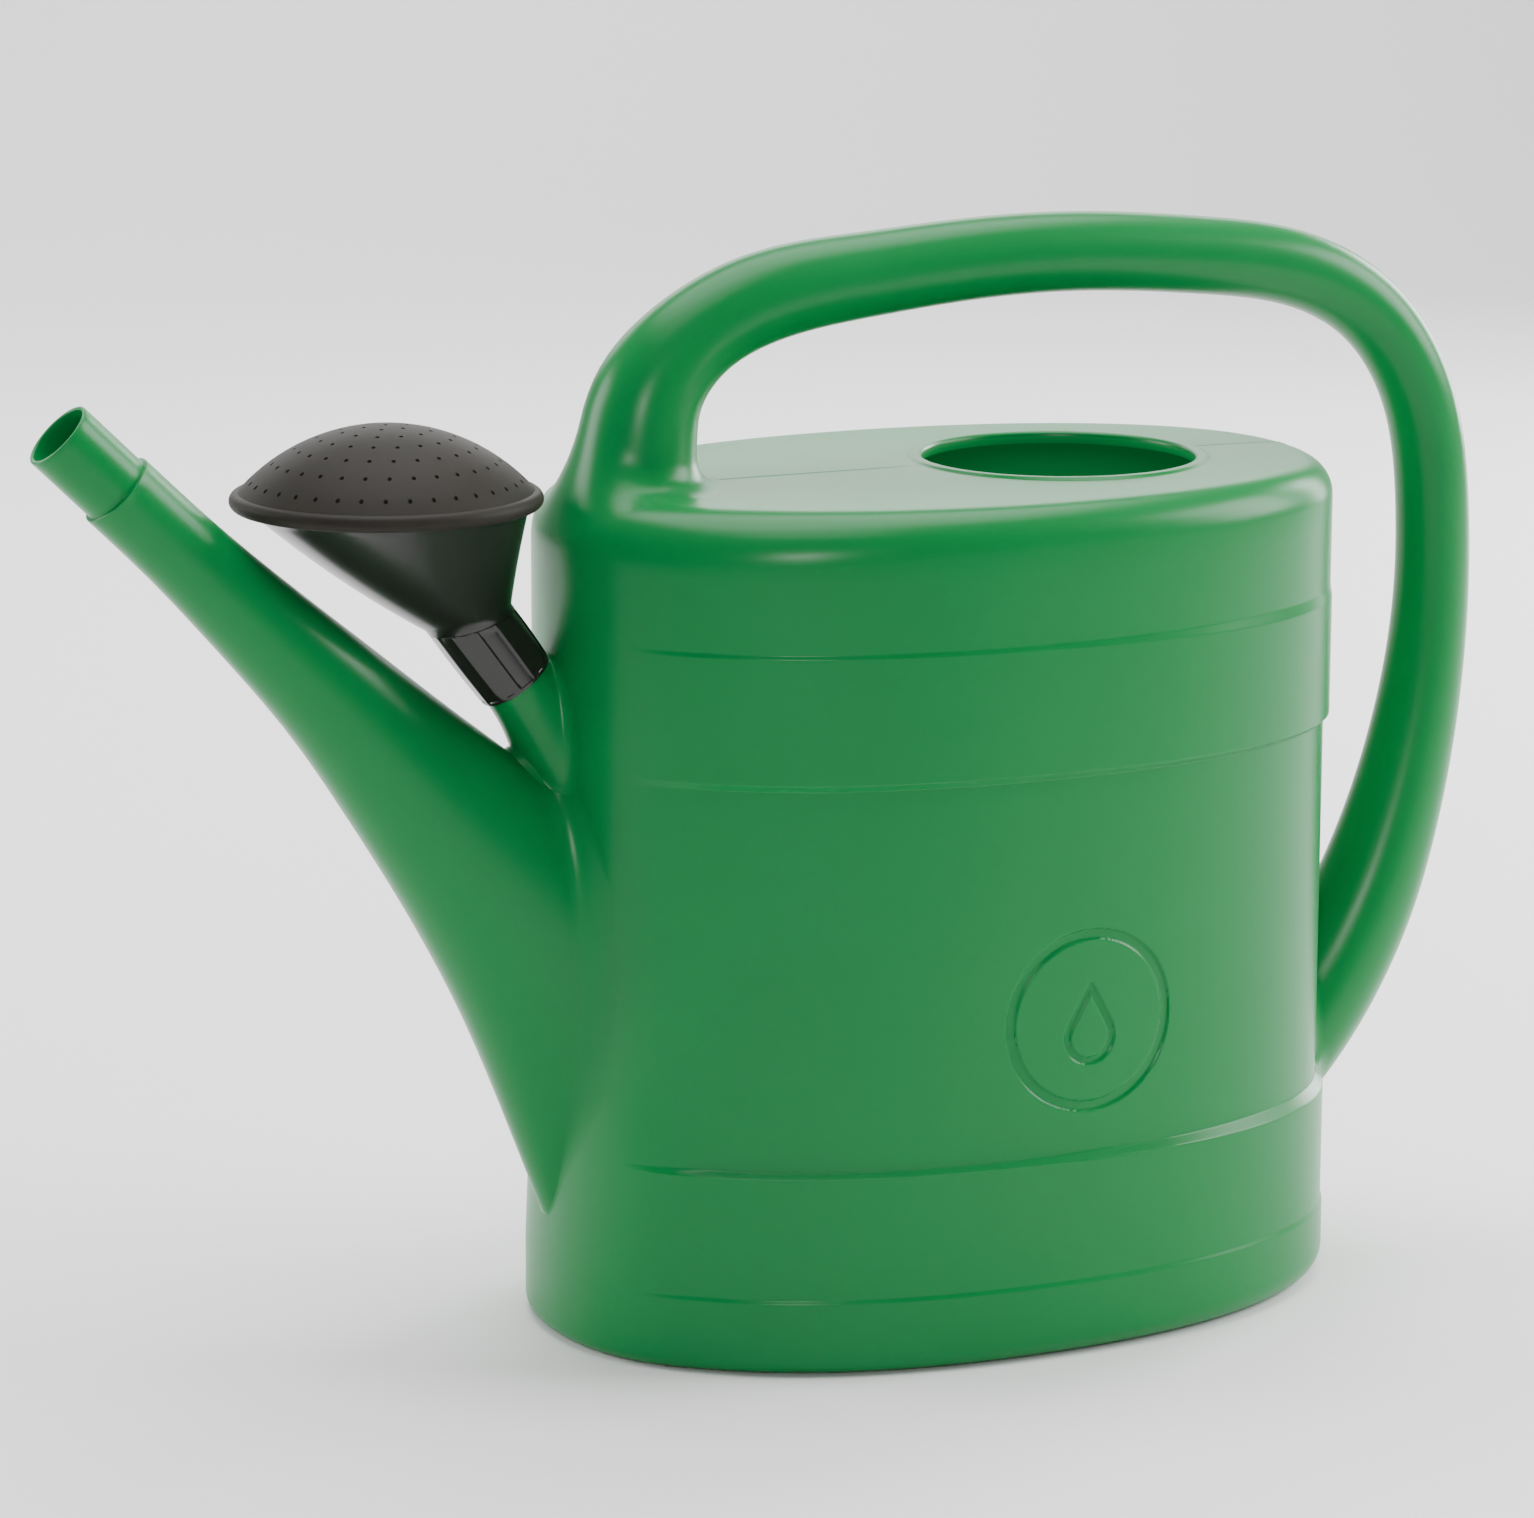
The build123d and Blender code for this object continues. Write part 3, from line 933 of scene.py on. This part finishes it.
@dataclass
class Spout(Limb):
    """The long tapering spout, with a stepped collar at its mouth for the rose."""

    sections: tuple = (
        ((-293.5, 284.5), (-275.6, 304.1), 13.1),
        ((-275.3, 266.1), (-256.0, 284.9), 13.4),
        ((-251.4, 239.1), (-229.0, 261.0), 15.4),
        ((-228.0, 210.2), (-200.0, 236.9), 18.6),
        ((-206.5, 177.3), (-168.0, 210.5), 22.0),
        ((-188.0, 146.0), (-137.0, 184.5), 25.5),
        ((-166.2, 104.9), (-108.0, 150.0), 27.0),
        ((-144.5, 54.0), (-88.0, 105.0), 23.5),
        ((-134.5, 26.0), (-74.0, 76.0), 18.0),
    )
    collar_radius: float = 12.0
    collar_length: float = 26.15
    thickness: float = 1.5
    edge: float = 0.55

    def stations(self) -> tuple:
        """Centres and half axes from the two edge lines of the spout.

        Returns:
            Centres (n, 3), half depths (n,), half widths (n,).
        """
        low = np.array([s[0] for s in self.sections])
        high = np.array([s[1] for s in self.sections])
        middle = (low + high) / 2.0
        centres = np.column_stack([middle[:, 0], np.zeros(len(middle)), middle[:, 1]])
        return centres, np.linalg.norm(high - low, axis=1) / 2.0, np.array([s[2] for s in self.sections])

    def collar(self, f: np.ndarray) -> np.ndarray:
        """Rows over the rounded step, along the collar, over its mouth and back down its bore.

        The collar is a profile of (distance along, radius) carried round the spout's axis.

        Args:
            f: Angles round the spout.

        Returns:
            Points, shape (rows, columns, 3).
        """
        centre, along, across, depth, _ = self.at(np.zeros(1))
        body, r, e = float(depth[0]), self.collar_radius, self.edge
        bore = r - self.thickness
        mouth = self.collar_length
        turn = np.linspace(0.0, QUARTER, 4)[1:]
        profile = [(e * math.sin(t) - e, body - e + e * math.cos(t)) for t in turn]
        profile += [(0.0, r + 0.45), (0.12, r + 0.12), (0.45, r)]
        profile += [(mouth * s, r) for s in (0.1, 0.3, 0.5, 0.7, 0.9)]
        outward, inward = np.linspace(0.0, QUARTER, 5), np.linspace(0.3, QUARTER, 4)
        profile += [(mouth - e + e * math.sin(t), r - e + e * math.cos(t)) for t in outward]
        profile += [(mouth - e + e * math.cos(t), bore + e - e * math.sin(t)) for t in inward]
        profile += [(mouth * s, bore) for s in (0.9, 0.7, 0.5, 0.3, 0.1)]
        ahead = np.array([p[0] for p in profile])[:, None, None]
        out = np.array([p[1] for p in profile])[:, None, None]
        round_way = np.cos(f)[:, None] * across[0] + np.sin(f)[:, None] * np.array([0.0, 1.0, 0.0])
        return centre[0] - ahead * along[0] + out * round_way[None]

    def build(self, tank: Tank, finishes: tuple) -> bpy.types.Object:
        """Makes the spout: foot, tube, collar and its inside.

        Args:
            tank: The tank it grows from.
            finishes: Materials of the outside and of the inside.

        Returns:
            The spout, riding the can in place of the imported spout.
        """
        self.prepare()
        f = self.angles()
        outside, inside = 20.0, self.knots[-1] - 6.0
        under = smooth_step(np.cos(f), -0.2, -1.0)
        climb = 13.0 + 4.0 * np.cos(f) ** 2 - 15.5 * under
        spread = 12.0 - 10.8 * under
        leave, foot = self.foot(tank.height, outside, inside, climb, spread)
        share = np.linspace(0.0, 1.0, 70)[:, None]
        start = self.edge
        tube = self.point(start + share * (leave[None] - start), np.broadcast_to(f, (70, self.columns)))
        bore_end = self.seam(tank.height, outside, inside, f)
        back = np.linspace(0.02, 1.0, 40)[:, None]
        bore = self.point(back * bore_end[None], np.broadcast_to(f, (40, self.columns)), self.thickness)
        rows = np.concatenate([foot[::-1], tube[::-1], self.collar(f)])
        made = Skin("spout_moulding", np.concatenate([rows, bore]), True, len(rows)).build()
        return dress(made, finishes, Body.CAN, "spout")


@dataclass
class Handle(Limb):
    """The round hollow handle: flush with the front end, over the deck and down into the rear wall."""

    sections: tuple = (
        ((-110.5, 262.0), 21.2),
        ((-108.4, 294.0), 19.9),
        ((-104.8, 311.7), 18.4),
        ((-89.9, 330.1), 15.8),
        ((-65.6, 342.4), 15.1),
        ((-28.6, 348.5), 14.2),
        ((15.3, 352.2), 13.6),
        ((52.1, 352.6), 13.3),
        ((97.6, 349.0), 13.1),
        ((135.9, 342.0), 12.9),
        ((161.5, 328.1), 12.6),
        ((182.4, 298.5), 12.5),
        ((190.1, 258.6), 12.7),
        ((190.5, 223.4), 13.15),
        ((185.5, 181.9), 14.7),
        ((178.3, 152.0), 16.3),
        ((168.8, 125.1), 18.0),
        ((154.5, 97.7), 19.5),
        ((135.5, 73.0), 20.8),
        ((112.0, 51.0), 21.6),
    )
    thickness: float = 1.6

    def stations(self) -> tuple:
        """Centres and radii of the round tube.

        Returns:
            Centres (n, 3), and the radii twice.
        """
        middle = np.array([s[0] for s in self.sections])
        radius = np.array([s[1] for s in self.sections])
        return np.column_stack([middle[:, 0], np.zeros(len(middle)), middle[:, 1]]), radius, radius

    def build(self, tank: Tank, finishes: tuple) -> bpy.types.Object:
        """Makes the handle with both its feet, hollow inside.

        Args:
            tank: The tank it grows from.
            finishes: Materials of the outside and of the inside.

        Returns:
            The handle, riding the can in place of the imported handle.
        """
        self.prepare()
        f = self.angles()
        total = self.knots[-1]
        front_reach, rear_reach = (60.0, 3.0), (total - 140.0, total - 4.0)
        front = smooth_step(np.cos(f), 0.1, 1.0)
        climb, spread = 11.0 + 11.0 * front, 12.0 + 8.0 * front
        leave_front, foot_front = self.foot(tank.height, *front_reach, climb, spread)
        even = np.ones(self.columns)
        leave_rear, foot_rear = self.foot(tank.height, *rear_reach, 9.0 * even, 7.5 * even)
        share = np.linspace(0.0, 1.0, 180)[:, None]
        around = np.broadcast_to(f, (180, self.columns))
        tube = self.point(leave_front[None] + share * (leave_rear - leave_front)[None], around)
        seam_front = self.seam(tank.height, *front_reach, f)
        seam_rear = self.seam(tank.height, *rear_reach, f)
        back = np.linspace(1.0, 0.0, 60)[:, None]
        around = np.broadcast_to(f, (60, self.columns))
        bore = self.point(seam_front[None] + back * (seam_rear - seam_front)[None], around, self.thickness)
        rows = np.concatenate([foot_front[::-1], tube, foot_rear])
        made = Skin("handle_moulding", np.concatenate([rows, bore]), True, len(rows)).build()
        return dress(made, finishes, Body.CAN, "handle")


@dataclass
class RosePeg(Limb):
    """The peg that the rose is parked on, leaning towards the spout out of the tank's front end."""

    foot_point: tuple = (-151.0, 222.8)
    lean: float = 36.2
    engaged: float = 22.0
    rounding: float = 1.0
    radius: float = 12.0
    root_fillet: float = 9.0
    foot_fillet: float = 5.0
    root_radii: tuple = ((-58.0, 23.4), (-44.0, 20.4), (-22.0, 15.6), (-11.0, 13.0))
    even_from: tuple = (-1.0, 10.0, 21.0)

    @property
    def direction(self) -> np.ndarray:
        """Unit vector along the peg, upwards and towards the spout."""
        lean = math.radians(self.lean)
        return np.array([-math.sin(lean), 0.0, math.cos(lean)])

    def centre(self, distance: np.ndarray) -> np.ndarray:
        """Points (n, 3) on the peg's axis, at distances (n,) from the sleeve's lower rim."""
        foot = np.array([self.foot_point[0], 0.0, self.foot_point[1]])
        return foot + np.asarray(distance)[:, None] * self.direction

    def stations(self) -> tuple:
        """Centres and radii from inside the tank to the peg's end.

        Returns:
            Centres (n, 3), and the radii twice.
        """
        radii = self.root_radii + tuple((d, self.radius) for d in self.even_from)
        distance, radius = np.array(radii).T
        return self.centre(distance), radius, radius

    def build(self, tank: Tank, spout: Spout, material: bpy.types.Material) -> bpy.types.Object:
        """Makes the peg, its foot run into both the tank and the spout.

        Args:
            tank: The tank it grows from.
            spout: The spout below it.
            material: Its finish.

        Returns:
            The peg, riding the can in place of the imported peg.
        """
        self.prepare()
        f = self.angles()

        def ground(points: np.ndarray) -> np.ndarray:
            """Height over the tank and the spout together."""
            return soft_union(tank.height(points), spout.height(points), self.root_fillet)

        outside, inside = self.knots[-1] - 20.0, 4.0
        even = np.full(self.columns, self.foot_fillet)
        leave, foot = self.foot(ground, outside, inside, even, even)
        share = np.linspace(0.0, 1.0, 30)[:, None]
        around = np.broadcast_to(f, (30, self.columns))
        tube = self.point(leave[None] + share * (self.knots[-1] - leave)[None], around)
        turn = np.linspace(0.0, QUARTER, 6)[1:, None]
        radius = self.radius - self.rounding * (1.0 - np.cos(turn))
        ahead = self.engaged - self.rounding * (1.0 - np.sin(turn))
        _, _, across, _, _ = self.at(self.knots[-1:])
        round_way = np.cos(f)[:, None] * across[0] + np.sin(f)[:, None] * np.array([0.0, 1.0, 0.0])
        end = self.centre(ahead[:, 0])[:, None, :] + radius[..., None] * round_way[None]
        made = Skin("rose_peg_moulding", np.concatenate([foot[::-1], tube, end])).build()
        return dress(made, (material,), Body.CAN, "rose_peg")


# ---- the rose ------------------------------------------------------------------------


@dataclass
class RoseFunnel:
    """The glossy funnel with its panelled sleeve.

    Each row is an ellipse in a plane of its own. The planes turn from square across the
    peg, at the sleeve, to level at the top. The sleeve's rows are drawn out to six flat
    panels: their radius is d / cos(a) for the angle a from the middle of a panel.
    """

    peg: RosePeg
    columns: int = 240
    bore: float = 12.15
    rim_radius: float = 13.35
    sleeve_radius: float = 13.8
    sleeve_length: float = 27.5
    panels: int = 6
    panel_distance: float = 13.25
    valley_radius: float = 13.25
    neck_tilt: float = 16.0
    thickness: float = 1.3
    top_centre: tuple = (-193.5, 282.0)
    top_radius: float = 44.5
    ring_centre: float = -194.6
    ring_radius: float = 44.2
    ring_height: float = 3.9

    def row(self, centre: np.ndarray, tilt: float, depth: np.ndarray, width: np.ndarray) -> np.ndarray:
        """One row of points in a plane tilted about Y.

        Args:
            centre: Middle of the row, shape (3,).
            tilt: Tilt of the plane's normal from upright towards -X, in radians.
            depth: Half axis in the plane y = 0, a number or one for each column.
            width: Half axis along Y, a number or one for each column.

        Returns:
            Points, shape (columns, 3).
        """
        f = self.angles()
        across = np.array([-math.cos(tilt), 0.0, -math.sin(tilt)])
        points = centre + (depth * np.cos(f))[:, None] * across
        points[:, 1] += width * np.sin(f)
        return points

    def angles(self) -> np.ndarray:
        """Column angles, measured from the side of the sleeve that faces the spout."""
        return np.arange(self.columns) * math.tau / self.columns

    def panel_radius(self) -> np.ndarray:
        """Radius of the panelled sleeve at each column.

        Returns:
            Radii, shape (columns,).
        """
        pitch = math.tau / self.panels
        off = (self.angles() + pitch / 2.0) % pitch - pitch / 2.0
        flat = self.panel_distance / np.cos(off)
        limit = math.acos(self.panel_distance / self.sleeve_radius)
        edge = smooth_step(np.abs(off), limit + 0.05, limit)
        return self.valley_radius + (np.minimum(flat, self.sleeve_radius) - self.valley_radius) * edge

    def build(self, material: bpy.types.Material) -> bpy.types.Object:
        """Makes the funnel: sleeve, cone, upright ring and the inside.

        Args:
            material: Its finish.

        Returns:
            The funnel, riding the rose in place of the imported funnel.
        """
        lean, neck = math.radians(self.peg.lean), math.radians(self.neck_tilt)
        stretch = 1.0 / math.cos(lean - neck)
        rows = []

        def on_axis(distance: float) -> np.ndarray:
            """Point on the sleeve's axis."""
            return self.peg.centre(np.array([distance]))[0]

        panelled = self.panel_radius()
        taper = self.rim_radius / self.sleeve_radius
        round_radius = np.full(self.columns, self.rim_radius - 0.25)
        for d, r in ((0.25, round_radius - 0.55), (0.0, round_radius - 0.3), (0.12, round_radius - 0.05)):
            rows.append(self.row(on_axis(d), lean, r, r))
        for d, share in ((0.4, 0.0), (1.1, 0.0), (1.35, 1.0)):
            r = round_radius + share * (taper * panelled - round_radius)
            rows.append(self.row(on_axis(d), lean, r, r))
        for share in np.linspace(0.1, 1.0, 10):
            tilt = lean + share * (neck - lean)
            reach = 1.35 + share * (self.sleeve_length - 2.6 - 1.35)
            across = 1.0 + share * (stretch - 1.0)
            width = panelled * (taper + share * (1.0 - taper))
            rows.append(self.row(on_axis(reach), tilt, width * across, width))
        collar = self.sleeve_radius
        start = on_axis(self.sleeve_length)
        for back, extra in ((2.3, -0.35), (2.05, 0.0), (0.0, 0.0)):
            centre, width = on_axis(self.sleeve_length - back), collar + extra
            rows.append(self.row(centre, neck, np.full(self.columns, width * stretch), width))
        top = np.array([self.top_centre[0], 0.0, self.top_centre[1]])
        for share in np.linspace(0.0, 1.0, 20)[1:]:
            centre = start + share * (top - start)
            tilt = neck * (1.0 - share)
            depth = collar * stretch + share * (self.top_radius - collar * stretch)
            width = collar + share * (self.top_radius - collar)
            rows.append(self.row(centre, tilt, np.full(self.columns, depth), width))
        ring = np.array([self.ring_centre, 0.0, self.top_centre[1]])
        up = np.array([0.0, 0.0, self.ring_height])
        for centre, r in ((ring + up * 0.1, self.ring_radius), (ring + up, self.ring_radius)):
            rows.append(self.row(centre, 0.0, np.full(self.columns, r), r))
        inner = self.ring_radius - self.thickness
        for centre, r in ((ring + up, inner), (ring + up * 0.1, inner)):
            rows.append(self.row(centre, 0.0, np.full(self.columns, r), r))
        for share in np.linspace(1.0, 0.0, 8):
            centre = start + share * (top - start)
            depth = (collar - 1.1) * stretch + share * (self.top_radius - self.thickness - collar * stretch)
            width = collar - 1.1 + share * (self.top_radius - self.thickness - collar)
            rows.append(self.row(centre, neck * (1.0 - share), np.full(self.columns, depth), width))
        for d in (self.sleeve_length - 3.0, 1.0):
            r = np.full(self.columns, self.bore)
            rows.append(self.row(on_axis(d), lean, r, r))
        made = Skin("rose_funnel_moulding", np.stack(rows), closed_rows=True).build()
        return dress(made, (material,), Body.ROSE, "rose_funnel")


@dataclass
class RoseFace:
    """The pressed-on sieve face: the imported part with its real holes, in a matt finish."""

    node: str = "rose_face"

    def build(self, material: bpy.types.Material) -> bpy.types.Object:
        """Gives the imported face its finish.

        Args:
            material: The finish.

        Returns:
            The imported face.
        """
        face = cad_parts[self.node]
        for holder in face.material_slots:
            holder.material = material
        report(face, material.name)
        return face


# ---- studio --------------------------------------------------------------------------


@dataclass(frozen=True)
class SoftBox:
    """A rectangular soft light that looks at a point."""

    name: str
    place: tuple
    target: tuple
    size: tuple
    power: float

    def build(self) -> bpy.types.Object:
        """Makes the light.

        Returns:
            The light's object.
        """
        light = bpy.data.lights.new(self.name, "AREA")
        light.shape = "RECTANGLE"
        light.size, light.size_y = self.size
        light.energy = self.power
        made = bpy.data.objects.new(self.name, light)
        made.location = self.place
        aim = Vector(self.target) - Vector(self.place)
        made.rotation_euler = aim.to_track_quat("-Z", "Y").to_euler()
        bpy.context.scene.collection.objects.link(made)
        return made


@dataclass
class Studio:
    """A pale sweep, a soft surround, soft boxes and the camera."""

    eye: tuple = (-0.79177, -1.66659, 0.58806)
    right: tuple = (0.9205, -0.3909, 0.0)
    up: tuple = (0.0846, 0.1992, 0.9764)
    back: tuple = (-0.3815, -0.8987, 0.2164)
    lens: float = 131.45
    shift: tuple = (0.0408, 0.0073)
    surround: float = 0.12
    sweep_radius: float = 2.0
    sweep_start: float = 3.0
    sweep_height: float = 6.0
    floor_gap: float = 0.0004
    lights: tuple = (
        SoftBox("soft_box_front", (-1.0, -2.1, 1.0), (0.0, 0.0, 0.2), (0.35, 0.45), 17.0),
        SoftBox("soft_box_overhead", (-0.3, -0.5, 2.2), (0.0, 0.0, 0.2), (1.0, 1.0), 12.0),
        SoftBox("soft_box_top", (0.1, 0.5, 2.2), (0.0, 0.0, 0.25), (2.0, 1.6), 62.0),
        SoftBox("soft_box_behind", (0.5, 2.0, 1.15), (0.0, 0.0, 0.3), (2.6, 0.7), 16.0),
        SoftBox("soft_box_right", (1.7, -0.5, 1.0), (0.0, 0.0, 0.15), (1.0, 1.2), 50.0),
        SoftBox("soft_box_rim", (1.9, 1.0, 0.7), (0.0, 0.0, 0.2), (0.8, 1.2), 45.0),
        SoftBox("soft_box_left", (-2.0, 1.3, 0.8), (0.0, 0.0, 0.2), (1.0, 1.4), 45.0),
        SoftBox("soft_box_sweep", (0.5, 2.6, 2.4), (1.0, 4.4, 0.4), (3.0, 1.0), 110.0),
    )

    def floor(self) -> bpy.types.Object:
        """A level floor that sweeps up behind the can.

        The profile is level, then a quarter circle, then upright, carried along the camera's
        right direction.

        Returns:
            The floor.
        """
        turn = np.linspace(0.0, QUARTER, 17)
        radius, depth, height = self.sweep_radius, self.sweep_start, self.sweep_height
        ahead = np.concatenate([[-6.0, 0.0], depth + radius * np.sin(turn), [depth + radius]])
        rise = np.concatenate([[0.0, 0.0], radius * (1.0 - np.cos(turn)), [height]])
        right = np.array([self.right[0], self.right[1], 0.0])
        forward = np.array([-right[1], right[0], 0.0])
        side = np.linspace(-8.0, 8.0, 3)
        points = ahead[:, None, None] * forward + side[None, :, None] * right
        points[..., 2] = rise[:, None] - self.floor_gap
        rows, columns = points.shape[:2]
        row, column = np.meshgrid(np.arange(rows - 1), np.arange(columns - 1), indexing="ij")
        first = (row * columns + column).ravel()
        faces = np.stack([first, first + 1, first + 1 + columns, first + columns], axis=-1)
        mesh = bpy.data.meshes.new("floor")
        mesh.from_pydata(points.reshape(-1, 3).tolist(), [], faces.tolist())
        mesh.polygons.foreach_set("use_smooth", np.ones(len(mesh.polygons), bool))
        made = bpy.data.objects.new("floor", mesh)
        bpy.context.scene.collection.objects.link(made)
        made.data.materials.append(FLOOR_FINISH.build())
        return made

    def camera(self) -> bpy.types.Object:
        """The camera, from its three directions.

        Returns:
            The scene's camera.
        """
        data = bpy.data.cameras.new("camera")
        data.sensor_width = 36.0
        data.lens = self.lens
        data.shift_x, data.shift_y = self.shift
        data.dof.use_dof = False
        made = bpy.data.objects.new("camera", data)
        turn = Matrix((self.right, self.up, self.back)).transposed().to_4x4()
        made.matrix_world = Matrix.Translation(self.eye) @ turn
        bpy.context.scene.collection.objects.link(made)
        bpy.context.scene.camera = made
        return made

    def build(self) -> None:
        """Sets up floor, surround, lights and camera."""
        self.floor()
        world = bpy.data.worlds.new("surround")
        world.use_nodes = True
        background = world.node_tree.nodes["Background"]
        background.inputs["Color"].default_value = (1.0, 1.0, 1.0, 1.0)
        background.inputs["Strength"].default_value = self.surround
        bpy.context.scene.world = world
        for light in self.lights:
            light.build()
        self.camera()


def main() -> None:
    """Builds the can, the rose and the studio, in that order."""
    logging.basicConfig(level=logging.INFO, format="%(message)s")
    green, inside = CAN_FINISH.build(), INSIDE_FINISH_PAINTED_GLOW.build()
    gloss, matt = FUNNEL_FINISH.build(), FACE_FINISH.build()
    tank, spout, handle, peg = Tank(), Spout(), Handle(), RosePeg()
    tank.build((green, inside))
    spout.build(tank, (green, inside))
    handle.build(tank, (green, inside))
    peg.build(tank, spout, green)
    RoseFunnel(peg).build(gloss)
    RoseFace().build(matt)
    Studio().build()


if __name__ == "__main__":
    main()
